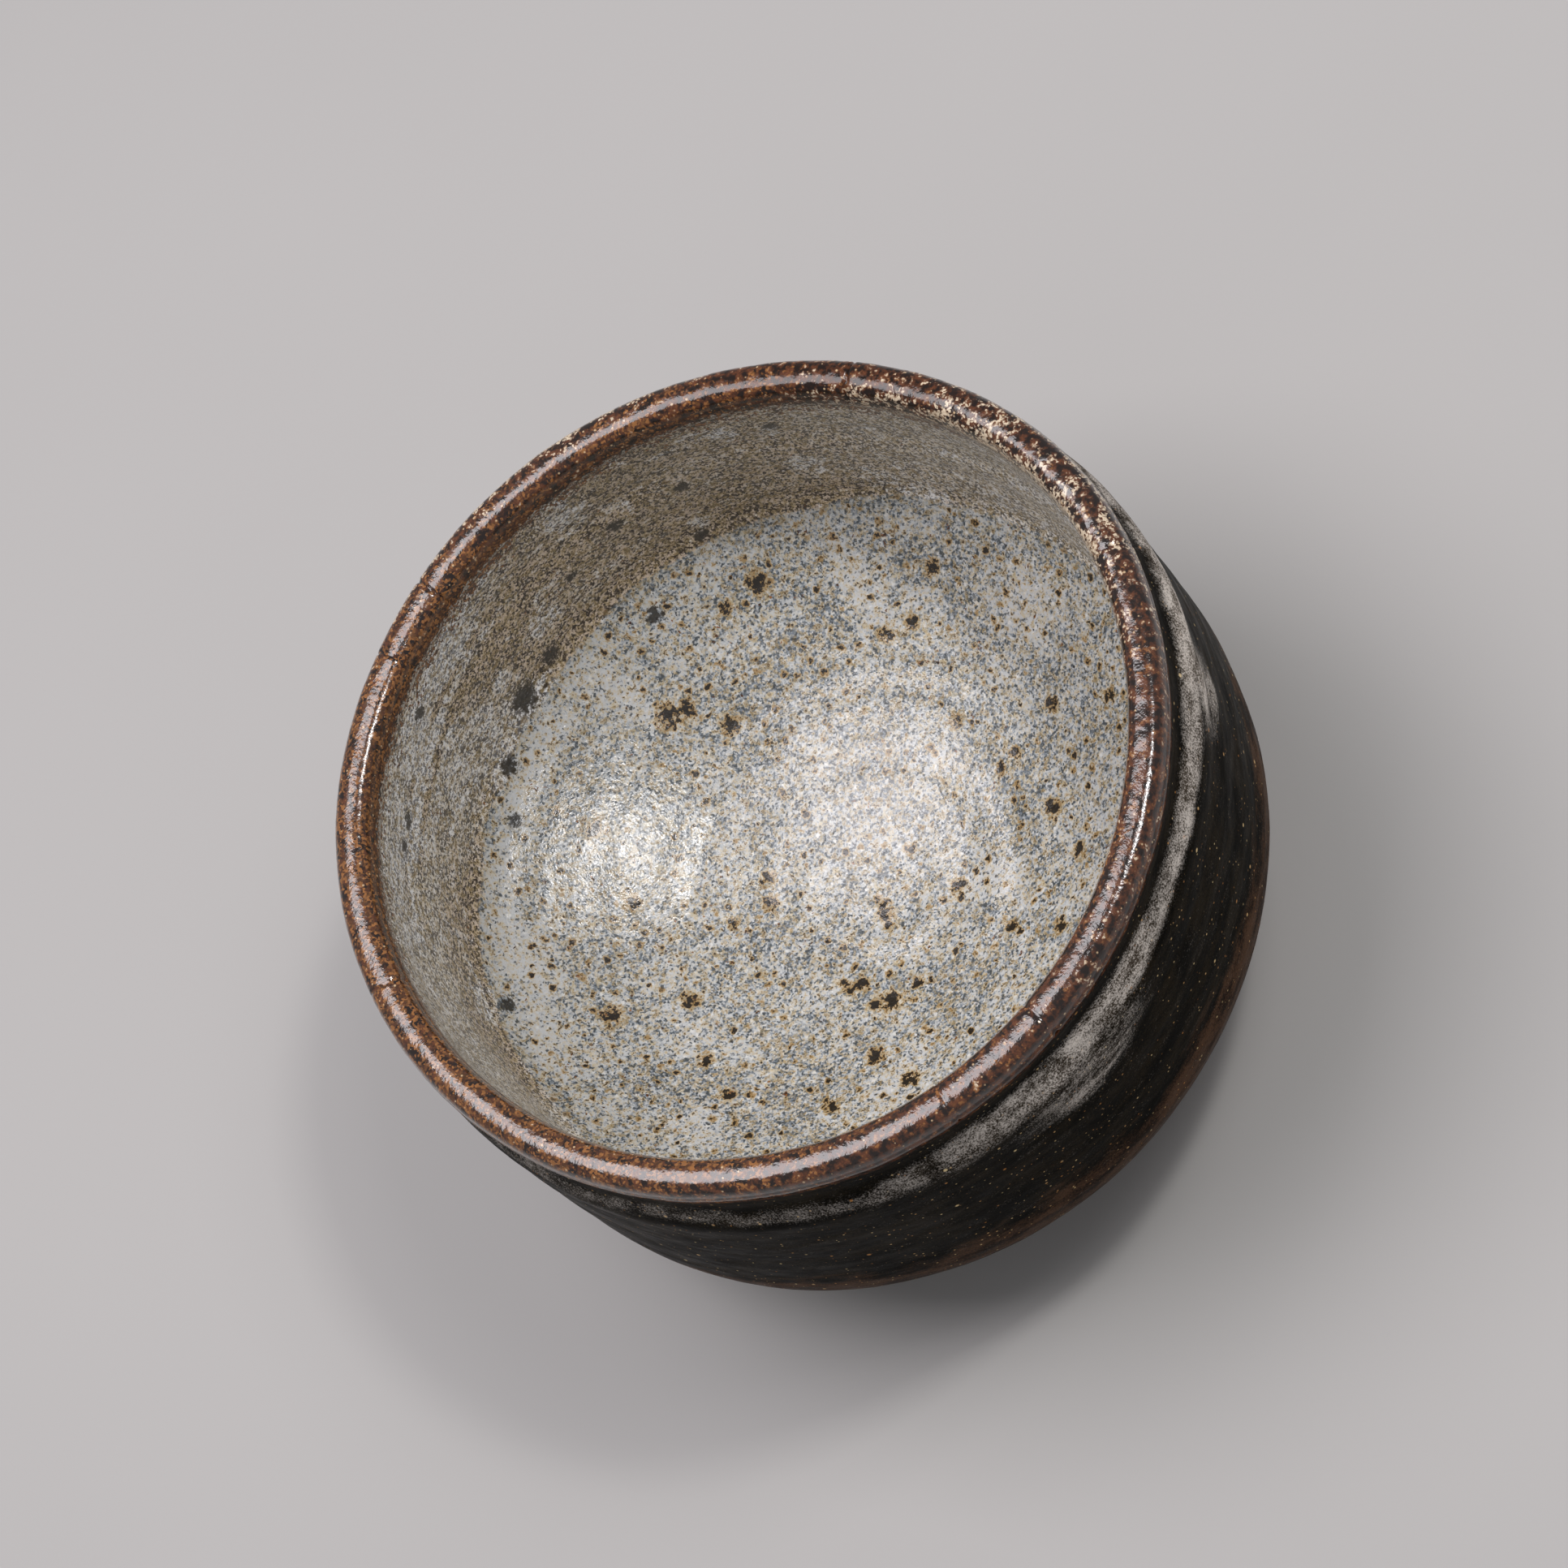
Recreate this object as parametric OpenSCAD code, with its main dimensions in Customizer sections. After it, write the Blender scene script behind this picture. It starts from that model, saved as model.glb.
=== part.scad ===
// Matcha bowl: a wheel-thrown stoneware tea bowl with a luted foot ring and
// four glaze coats. Millimetres, +Z up. The origin is the centre of the circle
// on which the foot ring rests, and every piece is a body of revolution.

/* [Bowl] */
// Outer diameter over the rounded lip, glazed
rim_d = 118; // [96:1:142]
// Height from the resting plane to the top of the lip, glazed
bowl_h = 72; // [60:1:88]
// Outer diameter of the belly, glazed
belly_d = 120; // [100:1:144]
// Thickness of the wall at the belly, glazed on both sides
wall_t = 6.8; // [5:0.2:9]
// Thickness of the floor at its centre, from the foot recess to the glaze
floor_t = 8; // [5:0.5:10]

/* [Lip] */
// Thickness of the rounded lip, glazed
lip_t = 5.4; // [4:0.2:7]
// Depth of the waist between the lip and the shoulder
waist_depth = 1.1; // [0.2:0.1:2]
// Depth of the shoulder below the top of the lip
shoulder_drop = 14.5; // [12:0.5:18]

/* [Lower body] */
// Height above the resting plane at which the belly begins to turn in
turn_h = 31; // [26:1:38]
// Radius of the turn between the belly and the underside
turn_r = 20; // [14:1:24]

/* [Inside] */
// Radius of the dished floor
dish_r = 80; // [66:1:120]
// Radius of the fillet between the inner wall and the dished floor
fillet_r = 8; // [4:0.5:12]

/* [Foot ring] */
// Outer diameter of the foot ring where it joins the body
foot_d = 58; // [48:1:70]
// Height of the foot ring
foot_h = 7; // [5:0.5:9]
// Width of the foot ring where it joins the body
foot_w = 7; // [5.5:0.5:9]
// Lean of both sides of the foot ring towards its middle, in degrees
foot_lean = 10; // [4:1:14]
// Radius of the two worn edges of the foot ring
foot_edge_r = 0.9; // [0.4:0.1:1.2]
// Rise of the domed recess carved into the underside within the foot ring
recess_rise = 3; // [1:0.5:4]

/* [Glaze] */
// Thickness of the glaze coats
glaze_t = 0.7; // [0.4:0.1:1]
// Angle round the turn, below the belly, at which the outer glaze stops
stop_angle = 45; // [25:1:52]
// Reach of the iron rim glaze below the rounding of the lip, outside
rim_reach_out = 0.9; // [0.5:0.1:1.5]
// Reach of the iron rim glaze below the rounding of the lip, inside
rim_reach_in = 2.3; // [1:0.1:5]
// Gap between the rim glaze and the brushed band
band_gap = 2.4; // [1:0.1:4]
// Width of the brushed band
band_w = 9; // [6:0.5:14]
// Thickness of the brushed band over the outer glaze
band_t = 0.3; // [0.2:0.1:0.6]

/* [Throwing rings] */
// Spacing aimed at for the throwing rings, which fill their wall evenly
ring_pitch = 9; // [6:0.5:14]
// Depth of the throwing rings
ring_depth = 0.35; // [0.1:0.05:0.6]

/* [Hidden] */
$fn = 96;

// Points in each throwing ring, and steps in each arc.
ring_steps = 10;
turn_steps = 8;
lip_steps = 12;
fillet_steps = 6;
dish_steps = 10;
recess_steps = 8;
edge_steps = 4;

// Radii of the glazed bowl, and the heights at which its shape changes.
rim_r = rim_d / 2;
belly_r = belly_d / 2;
foot_r = foot_d / 2;
lip_r = lip_t / 2;
lip_z = bowl_h - lip_r;
shoulder_z = bowl_h - shoulder_drop;
recess_z = foot_h + recess_rise;
floor_z = recess_z + floor_t;
inner_wall_r = belly_r - wall_t;

// Centres of the turn's, the lip's and the dished floor's arcs.
turn_c = [belly_r - turn_r, turn_h];
lip_c = [rim_r - lip_r, lip_z];
dish_c = [0, floor_z + dish_r];

// The fillet's arc touches the inner wall, and the dish at dish_angle off the axis.
fillet_x = inner_wall_r - fillet_r;
fillet_gap = dish_r - fillet_r;
dish_angle = asin(fillet_x / fillet_gap);
fillet_c = [fillet_x, dish_c.y - fillet_gap * cos(dish_angle)];

// The underside rises from the foot's outer edge and touches the turn's arc.
seat = [foot_r, foot_h];
seat_gap = turn_c - seat;
under_angle = atan2(seat_gap.y, seat_gap.x) - asin((turn_r - glaze_t) / norm(seat_gap));
under_start = seat + glaze_t * [sin(under_angle), -cos(under_angle)];

// Edges of the glazes on the walls.
rim_edge_out = lip_z - rim_reach_out;
rim_edge_in = lip_z - rim_reach_in;
band_top = rim_edge_out - band_gap;
band_foot = band_top - band_w;

// A point on a circle at an angle counted from +r towards +z.
function on_arc(c, r, a) = c + r * [cos(a), sin(a)];

// Points on an arc from one angle towards another, without its last point.
function arc(c, r, a0, a1, steps) =
    [for (i = [0 : steps - 1]) on_arc(c, r, a0 + (a1 - a0) * i / steps)];

// A step from 0 to 1 whose ends are level, and a hump that starts and ends at 0.
function ease(u) = (1 - cos(180 * max(0, min(1, u)))) / 2;
function hump(u) = (1 - cos(360 * max(0, min(1, u)))) / 2;

// Depth of a whole number of throwing rings between two heights.
function rings(z, z0, z1) =
    let (count = max(1, round((z1 - z0) / ring_pitch)),
         u = max(0, min(1, (z - z0) / (z1 - z0))))
    ring_depth * (1 - cos(360 * count * u)) / 2;

// How far a height lies between the shoulder at 0 and the lip's rounding at 1.
function up_neck(z) = (z - shoulder_z) / (lip_z - shoulder_z);

// Radius that the wall follows from the belly to the lip, before its waist and rings.
function form(z) = belly_r + (rim_r - belly_r) * ease(up_neck(z));
function outer_wall(z) =
    form(z) - waist_depth * hump(up_neck(z)) - rings(z, turn_h, shoulder_z);

// The inner wall keeps to the same form, and thins from the belly to the lip.
function inner_wall(z) =
    let (u = (z - fillet_c.y) / (lip_z - fillet_c.y))
    form(z) - wall_t + (wall_t - lip_t) * u + rings(z, fillet_c.y, lip_z);

// Points up the outer wall or down the inner wall, without the last height.
function wall_heights(z0, z1) =
    let (steps = max(2, round(abs(z1 - z0) / ring_pitch * ring_steps)))
    [for (i = [0 : steps - 1]) z0 + (z1 - z0) * i / steps];
function outer_stretch(z0, z1) = [for (z = wall_heights(z0, z1)) [outer_wall(z), z]];
function inner_stretch(z0, z1) = [for (z = wall_heights(z0, z1)) [inner_wall(z), z]];

// The glazed skin from the foot over the lip to the middle of the floor, in
// stretches that end where a glaze ends.
STRETCHES = [
    [under_start],
    arc(turn_c, turn_r, under_angle - 90, -stop_angle, turn_steps),
    arc(turn_c, turn_r, -stop_angle, 0, turn_steps),
    outer_stretch(turn_h, band_foot),
    outer_stretch(band_foot, band_top),
    outer_stretch(band_top, rim_edge_out),
    outer_stretch(rim_edge_out, lip_z),
    arc(lip_c, lip_r, 0, 180, lip_steps),
    inner_stretch(lip_z, rim_edge_in),
    inner_stretch(rim_edge_in, fillet_c.y),
    arc(fillet_c, fillet_r, 0, dish_angle - 90, fillet_steps),
    concat(arc(dish_c, dish_r, dish_angle - 90, -90, dish_steps), [[0, floor_z]])
];
skin = [for (stretch = STRETCHES) each stretch];
last_i = len(skin) - 1;

// Index in the skin of the first point of a stretch.
function first_i(n) = n == 0 ? 0 : first_i(n - 1) + len(STRETCHES[n - 1]);
outer_i = first_i(2);
band_foot_i = first_i(4);
band_top_i = first_i(5);
rim_i = first_i(6);
liner_i = first_i(9);

// Direction of the skin at a point, level over the axis, and away from the clay.
function along(i) =
    i == 0 ? skin[1] - skin[0] :
    i == last_i ? [-1, 0] :
    skin[i + 1] - skin[i - 1];
function outward(i) = let (d = along(i)) [d.y, -d.x] / norm(d);

// Points of the skin moved outward by a distance, or inward if it is negative.
function layer(i0, i1, t) = [for (i = [i0 : i1]) skin[i] + t * outward(i)];
function reversed(points) = [for (i = [len(points) - 1 : -1 : 0]) points[i]];

// Outline of one side of the foot ring, from its bottom to its top.
foot_side_c = [
    foot_r - (foot_h - foot_edge_r) * tan(foot_lean) - foot_edge_r / cos(foot_lean),
    foot_edge_r
];
foot_side = concat(arc(foot_side_c, foot_edge_r, -90, -foot_lean, edge_steps),
                   [on_arc(foot_side_c, foot_edge_r, -foot_lean), seat]);
foot_inner_r = foot_r - foot_w;
function across_foot(p) = [foot_r + foot_inner_r - p.x, p.y];

// The recess's dome, from the foot ring's inner edge to the axis.
recess_r = (pow(foot_inner_r, 2) + pow(recess_rise, 2)) / (2 * recess_rise);
recess_c = [0, recess_z - recess_r];
recess_angle = acos(foot_inner_r / recess_r);
recess = concat(arc(recess_c, recess_r, recess_angle, 90, recess_steps), [[0, recess_z]]);

module revolve(points) {
    rotate_extrude() polygon(points);
}

// A glaze coat over part of the skin, between two distances from it.
module coat(i0, i1, t0, t1) {
    revolve(concat(layer(i0, i1, t1), reversed(layer(i0, i1, t0))));
}

module stoneware_body() {
    color("#6b5847")
        revolve(concat(layer(0, last_i, -glaze_t), reversed(recess)));
}

module foot_ring() {
    color("#7d6a57")
        revolve(concat(foot_side, reversed([for (p = foot_side) across_foot(p)])));
}

module liner_glaze() {
    color("#c3c2bb")
        coat(liner_i, last_i, -glaze_t, 0);
}

module rim_glaze() {
    color("#6a3f1e")
        coat(rim_i, liner_i, -glaze_t, 0);
}

module outer_glaze() {
    color("#26221c")
        coat(outer_i, rim_i, -glaze_t, 0);
}

module brushed_glaze_band() {
    color("#8d8982")
        coat(band_foot_i, band_top_i, 0, band_t);
}

stoneware_body();
foot_ring();
liner_glaze();
rim_glaze();
outer_glaze();
brushed_glaze_band();
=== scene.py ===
"""A hand-thrown matcha bowl in speckled stoneware, with its glazes, on a pale studio floor.

Lengths are metres in the bowl's own frame: +Z is its axis, the foot rests on z = 0, and -Y faces the
camera. Angles round the bowl are degrees from +X towards +Y. Each piece is lofted from the half section
of its CAD node, then moved from a true body of revolution to the shape that a hand leaves.
"""
import math

import bpy
import numpy as np
from mathutils import Matrix, Vector


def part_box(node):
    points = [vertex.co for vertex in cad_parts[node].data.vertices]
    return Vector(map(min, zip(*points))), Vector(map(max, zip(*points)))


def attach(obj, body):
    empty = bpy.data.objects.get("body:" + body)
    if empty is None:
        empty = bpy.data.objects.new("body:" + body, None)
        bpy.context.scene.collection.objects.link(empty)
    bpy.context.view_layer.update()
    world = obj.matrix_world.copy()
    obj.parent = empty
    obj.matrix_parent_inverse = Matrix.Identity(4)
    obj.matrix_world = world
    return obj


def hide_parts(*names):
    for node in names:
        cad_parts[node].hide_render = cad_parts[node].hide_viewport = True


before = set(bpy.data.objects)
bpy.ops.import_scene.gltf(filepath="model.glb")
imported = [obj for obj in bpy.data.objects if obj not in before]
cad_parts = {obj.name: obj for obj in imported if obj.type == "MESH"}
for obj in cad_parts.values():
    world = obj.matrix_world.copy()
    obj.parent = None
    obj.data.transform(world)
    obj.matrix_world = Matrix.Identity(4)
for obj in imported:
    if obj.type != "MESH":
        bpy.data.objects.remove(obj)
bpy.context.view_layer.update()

MM = 0.001

# ------------------------------------------------------------------ places that the frame gives

LIP_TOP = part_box("rim_glaze")[1].z
RIM_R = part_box("rim_glaze")[1].x
RIM_EDGE_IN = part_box("liner_glaze")[1].z
RIM_EDGE_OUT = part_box("outer_glaze")[1].z
GLAZE_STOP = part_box("outer_glaze")[0].z
GLAZE_T = LIP_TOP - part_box("stoneware_body")[1].z
FLOOR_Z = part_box("liner_glaze")[0].z + GLAZE_T
FOOT_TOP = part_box("foot_ring")[1].z
BELLY_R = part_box("outer_glaze")[1].x

# Half the lip's thickness, and the radius and height of the middle of its rounding.
LIP_R = 2.7 * MM
LIP_MID_R = RIM_R - LIP_R
LIP_MID_Z = LIP_TOP - LIP_R

# ------------------------------------------------------------------ how the bowl departs from true

# The true form's even throwing rings, which the visible walls have less of: how much of their depth is
# filled, and the lowest height, the highest height and the number of rings outside and inside.
RING_FILL = 0.2 * MM
RINGS_OUT = (31 * MM, 57.5 * MM, 3)
RINGS_IN = (42 * MM, LIP_MID_Z, 3)

# Times round, height of the lobe in mm, and angle of its first peak, for the lip's outline and height.
LIP_LOBES = [(2, 0.15, -30), (3, 0.38, 9), (4, 0.06, -5), (5, 0.16, -7)]
LIP_WAVES = [(2, 0.20, 50), (3, 0.16, 100), (5, 0.07, 20)]

# The throwing spiral outside, and the broad dents that hands leave.
SPIRAL_DEPTH = 0.06 * MM
SPIRAL_PITCH = 9 * MM
DENT_SIZE = 24 * MM
DENT_DEPTH = 0.28 * MM

# The throwing spiral on the floor of the bowl.
FLOOR_SPIRAL_DEPTH = 0.16 * MM
FLOOR_SPIRAL_PITCH = 8.5 * MM

# Hairline nicks across the lip: angle, half width in mm, depth in mm.
LIP_NICKS = [
    (-88, 0.7, 0.2), (-104, 0.35, 0.16), (30, 0.45, 0.34), (101, 0.45, 0.3), (112, 0.35, 0.22),
    (162, 0.4, 0.22), (-20, 0.35, 0.2),
]

# Iron spots that stand out on the floor of the bowl: x, y and radius in mm.
IRON_SPOTS = [
    (-1.5, -3.0, 0.9), (-0.6, -1.7, 0.7), (-2.4, -4.6, 0.7), (-12.6, -6.4, 0.6), (-12.4, -7.9, 0.7),
    (-10.9, -8.4, 0.8), (-11.6, -12.6, 0.9), (-9.9, -14.0, 1.3), (8.3, -9.0, 1.0), (25.0, -14.0, 1.1),
    (23.0, -22.0, 0.9), (-29.0, 7.5, 1.0), (-34.7, -8.2, 0.9), (-38.0, 12.5, 1.2), (-1.5, 39.0, 1.5),
    (0.8, 38.2, 1.0), (3.5, 32.5, 1.1), (21.0, 40.5, 1.2), (15.2, 42.0, 0.8), (31.5, 20.5, 0.9),
    (39.0, 21.5, 0.9), (28.0, 22.5, 0.9), (25.2, 7.0, 0.8), (35.5, -4.5, 0.9), (41.5, -12.5, 0.8),
    (-17.0, -19.0, 1.0), (-16.0, -26.0, 1.0), (-26.0, -21.0, 0.9), (9.0, -20.5, 0.8), (13.5, -27.5, 0.8),
    (-9.0, 14.0, 0.8), (-11.5, 11.0, 0.9), (-20.5, 35.0, 1.0), (-24.5, 24.0, 0.9), (24.3, -3.0, 0.7),
    (27.5, -3.6, 0.7), (-5.5, -15.0, 0.7), (-17.0, 12.6, 0.7), (7.5, 0.8, 0.7), (-33.4, -1.6, 0.8),
]

# Paler, thicker patches of glaze on the floor: x, y and radius in mm.
MILKY_PATCHES = [
    (31, 30, 7), (-41, 25, 8), (45, 7, 7), (-17, -25, 7), (22, -31, 6), (-5, 47, 6), (12, -12, 5),
]

# Soft dark spots on the inner wall: angle, height in mm, radius in mm.
WALL_SPOTS = [
    (117, 62.5, 0.9), (132, 58.3, 0.8), (136, 58.8, 0.7), (105, 40.5, 1.7), (97, 41.0, 1.1),
    (115, 37.8, 1.0), (123, 35.4, 0.8), (155, 36.8, 0.9), (76, 52.2, 0.9), (64, 52.0, 0.8),
    (86, 49.4, 0.7), (67, 39.2, 0.8), (81, 34.6, 0.9), (46, 60.8, 0.8), (-40, 55.0, 1.0),
    (-75, 44.0, 1.2), (-110, 58.0, 0.9), (-140, 48.0, 1.1),
]

# The brushed band's middle line: angle, height in mm, half width in mm, strength.
BAND_LINE = [
    (-180, 61.0, 1.6, 0.40), (-147, 61.5, 1.5, 0.32), (-120, 60.5, 1.8, 0.36), (-104, 60.7, 2.6, 0.74),
    (-90, 61.2, 2.6, 0.98), (-75, 61.2, 2.1, 0.9), (-63, 61.2, 1.6, 0.68), (-50, 60.8, 1.9, 0.85),
    (-38, 59.6, 2.2, 0.85), (-25, 58.0, 2.7, 0.95), (-10, 57.8, 2.5, 0.85), (20, 60.0, 2.0, 0.62),
    (60, 62.0, 1.5, 0.55), (100, 61.0, 2.2, 0.65), (140, 59.6, 2.2, 0.55), (180, 61.0, 1.5, 0.42),
]
# Where the band has run down: angle, half width in degrees, height of its tip in mm, strength.
BAND_RUNS = [
    (-89, 14, 50.0, 0.6), (-35, 8, 49.0, 0.9), (22, 10, 53.0, 0.55), (78, 13, 50.5, 0.6),
    (138, 9, 52.0, 0.5), (-160, 8, 55.0, 0.3),
]

# Heights between which the band's own thin shell runs, and how thick the shell is.
BAND_TOP = 66.4 * MM
BAND_FOOT = 46.5 * MM
BAND_BACK = 0.35 * MM

# ------------------------------------------------------------------ smooth fields over points in space


def smooth(x, low, high):
    """Rises smoothly from 0 at low to 1 at high."""
    t = np.clip((x - low) / (high - low), 0, 1)
    return t * t * (3 - 2 * t)


# Large odd numbers that scramble a cell's place and a seed into a number that looks random.
CELL_STRIDES = np.array([73856093, 19349663, 83492791])
SEED_STRIDE = 26544357
SCRAMBLER = 1274126177


def lattice(cells, seed):
    """A fixed number from 0 to 1 for each whole-numbered cell."""
    h = (cells * CELL_STRIDES).sum(1) + seed * SEED_STRIDE
    h = ((h ^ (h >> 13)) * SCRAMBLER) & 0x7FFFFFFF
    return ((h ^ (h >> 16)) & 0xFFFF) / 0xFFFF


# Turns the noise's cells out of line with the bowl's axes, and moves each seed's noise apart.
SKEW = np.array([[0.80, 0.36, -0.48], [-0.60, 0.48, -0.64], [0.0, 0.80, 0.60]])
SEED_SHIFT = 97.3


def fuzz(p, size, seed):
    """Smooth noise from -1 to 1 over points, with lumps about as wide as size."""
    q = p @ SKEW / size + SEED_SHIFT * (seed + 1)
    cell = np.floor(q).astype(np.int64)
    t = q - cell
    t = t * t * (3 - 2 * t)
    total = np.zeros(len(p))
    for corner in np.ndindex(2, 2, 2):
        share = np.where(corner, t, 1 - t).prod(1)
        total += share * lattice(cell + corner, seed)
    return 2 * total - 1


def rough_fuzz(p, size, seed):
    """Noise from about -1 to 1 with finer lumps on its lumps."""
    lumps = fuzz(p, size, seed)
    lumps += 0.5 * fuzz(p, size / 2.1, seed + 7)
    lumps += 0.25 * fuzz(p, size / 4.3, seed + 13)
    return lumps / 1.4


def polar(p):
    """Distance from the axis, and angle round it in degrees."""
    return np.hypot(p[:, 0], p[:, 1]), np.degrees(np.arctan2(p[:, 1], p[:, 0]))


def apart(angle, centre):
    """Degrees between angles, from -180 to 180."""
    return (angle - centre + 180) % 360 - 180


def lobe(angle, centre, half):
    """1 at an angle, falling smoothly to 0 at half degrees to each side."""
    return 1 - smooth(np.abs(apart(angle, centre)), 0, half)


def rolled_out(p, stretch):
    """Points on a drum as wide as the wall, with heights multiplied by stretch, for brush streaks."""
    r, angle = polar(p)
    a = np.radians(angle)
    return np.column_stack([BELLY_R * np.cos(a), BELLY_R * np.sin(a), (p[:, 2] + r) * stretch])


def waves(angle, table):
    """Sum of lobes round the bowl, in metres."""
    return sum(size * MM * np.cos(np.radians(n * (angle - peak))) for n, size, peak in table)


def thrown(p):
    """Moves points of the true form to where the hand-thrown bowl has them. The foot stays put."""
    r, angle = polar(p)
    up = smooth(p[:, 2], FOOT_TOP, LIP_TOP)
    out = np.minimum(r / RIM_R, 1)
    on_wall = smooth(r, 0.8 * RIM_R, 0.88 * RIM_R)
    below_lip = 1 - smooth(p[:, 2], LIP_TOP - 14 * MM, LIP_TOP - 6 * MM)
    turns = p[:, 2] / SPIRAL_PITCH - angle / 360
    push = up * out * waves(angle, LIP_LOBES)
    push += up * on_wall * below_lip * SPIRAL_DEPTH * np.sin(2 * np.pi * turns)
    held = smooth(p[:, 2], 1 * MM, 20 * MM) * DENT_DEPTH
    push += held * out * fuzz(p, DENT_SIZE, 1)
    lift = up * out * waves(angle, LIP_WAVES) + held * (1 - 0.6 * up) * 0.5 * fuzz(p, DENT_SIZE, 2)
    a = np.radians(angle)
    return p + np.column_stack([push * np.cos(a), push * np.sin(a), lift])


# ------------------------------------------------------------------ half sections and lofts

# A half section has a corner where its heading turns by more than the first angle, and a mesh has a sharp
# edge where its faces meet at more than the second.
CORNER = math.radians(24)
SHARP = math.radians(50)

# Points nearer to the plane of the mesh's seam, or to the axis, than this lie on it.
SEAM = 1e-7


def outline(node):
    """A CAD node's half section: points (r, z) in order, walked along the seam of its mesh.

    A closed one starts at its sharpest corner, so that its smooth stretches stay whole.
    """
    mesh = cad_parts[node].data
    at = {v.index: (round(v.co.x, 7), round(v.co.z, 7)) for v in mesh.vertices
          if abs(v.co.y) < SEAM and v.co.x > -SEAM}
    beside = {}
    for edge in mesh.edges:
        a, b = (at.get(i) for i in edge.vertices)
        if a and b and a != b:
            beside.setdefault(a, set()).add(b)
            beside.setdefault(b, set()).add(a)
    ends = sorted(p for p, others in beside.items() if len(others) == 1)
    walk = [ends[0] if ends else min(beside)]
    while True:
        onward = [p for p in sorted(beside[walk[-1]]) if p not in walk]
        if not onward:
            break
        walk.append(onward[0])
    points = np.array(walk)
    if not ends:
        ahead = np.roll(points, -1, axis=0) - points
        heading = np.arctan2(ahead[:, 1], ahead[:, 0])
        turn = np.abs((heading - np.roll(heading, 1) + np.pi) % (2 * np.pi) - np.pi)
        points = np.roll(points, -int(turn.argmax()), axis=0)
        points = np.vstack([points, points[:1]])
    return points if area(points) > 0 else points[::-1]


def area(points):
    """Signed area of a half section, positive where it runs anticlockwise."""
    r, z = np.vstack([points, points[:1]]).T
    return 0.5 * (r[:-1] * z[1:] - r[1:] * z[:-1]).sum()


def resample(points, step):
    """Points at even steps on a smooth curve of cubic stretches through the given ones."""
    if len(points) == 2:
        count = max(2, int(round(np.linalg.norm(points[1] - points[0]) / step)) + 1)
        return points[0] + np.linspace(0, 1, count)[:, None] * (points[1] - points[0])
    gaps = np.linalg.norm(np.diff(points, axis=0), axis=1)
    along = np.concatenate([[0], np.cumsum(gaps)])
    slope = np.gradient(points, along, axis=0, edge_order=2)
    at = np.linspace(0, along[-1], max(3, int(round(along[-1] / step)) + 1))
    i = np.clip(np.searchsorted(along, at, side="right") - 1, 0, len(gaps) - 1)
    h = gaps[i][:, None]
    t = (at - along[i])[:, None] / h
    return ((2 * t**3 - 3 * t**2 + 1) * points[i] + (t**3 - 2 * t**2 + t) * h * slope[i]
            + (3 * t**2 - 2 * t**3) * points[i + 1] + (t**3 - t**2) * h * slope[i + 1])


def stretches(points):
    """Cuts a half section at its corners, so that each stretch is smooth."""
    way = np.diff(points, axis=0)
    heading = np.arctan2(way[:, 1], way[:, 0])
    turn = np.abs((np.diff(heading) + np.pi) % (2 * np.pi) - np.pi)
    cuts = [0] + [i + 1 for i in np.nonzero(turn > CORNER)[0]] + [len(points) - 1]
    return [points[a:b + 1] for a, b in zip(cuts, cuts[1:])]


CLAY = np.vstack([resample(s, 0.4 * MM) for s in stretches(outline("stoneware_body"))])


def off_the_clay(points):
    """Mean distance of points from the clay's half section."""
    return np.mean([np.linalg.norm(CLAY - p, axis=1).min() for p in points])


def facing(points):
    """Outward normals along a half section that runs anticlockwise."""
    way = np.gradient(points, axis=0)
    way /= np.linalg.norm(way, axis=1)[:, None]
    return np.column_stack([way[:, 1], -way[:, 0]])


def section(node, step, coarse, shown=None):
    """Rows of a piece's half section: points, normals, and whether each shows.

    Without shown, the stretch that lies furthest from the clay is the glaze's face, and the rest is
    hidden and has wider steps. Otherwise shown says which points (r, z) are in sight.
    """
    cut = stretches(outline(node))
    face = max(range(len(cut)), key=lambda i: off_the_clay(cut[i]))
    rows = []
    for i, stretch in enumerate(cut):
        points = resample(stretch, step)
        points[:, 1] = np.maximum(points[:, 1], 0)
        seen = shown(points) if shown else np.full(len(points), i == face)
        normals = facing(points)
        stride = max(1, round(coarse / step))
        keep = [k for k in range(len(points) - 1) if k == 0 or seen[k] or k % stride == 0]
        rows += [(points[k], normals[k], bool(seen[k])) for k in keep]
    if cut[-1][-1][0] < SEAM:
        rows.append((cut[-1][-1], np.array([0.0, -1.0]), bool(seen[-1])))
    return rows


# The fewest vertices round a row, how much wider than its step a face may be before its row isn't halved,
# and how often rows are compared so that none has over twice as many as the next.
FEWEST_ROUND = 10
STEP_SLACK = 1.25
EVENING_PASSES = 8


def columns(rows, around, step, coarse):
    """How many vertices each row has round the bowl: around, halved as the row narrows."""
    counts = []
    for (r, _), _, seen in rows:
        widest = STEP_SLACK * (step if seen else coarse)
        n = around
        while n % 2 == 0 and n > FEWEST_ROUND and 2 * math.pi * r / (n // 2) < widest:
            n //= 2
        counts.append(1 if r < SEAM else n)
    wrap = rows[0][0][0] >= SEAM
    for _ in range(EVENING_PASSES):
        for i in range(len(counts)):
            for j in (i - 1, i + 1):
                if (wrap or 0 <= j < len(counts)) and min(counts[i], counts[j % len(counts)]) > 1:
                    counts[i] = max(counts[i], counts[j % len(counts)] // 2)
    return counts


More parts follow.
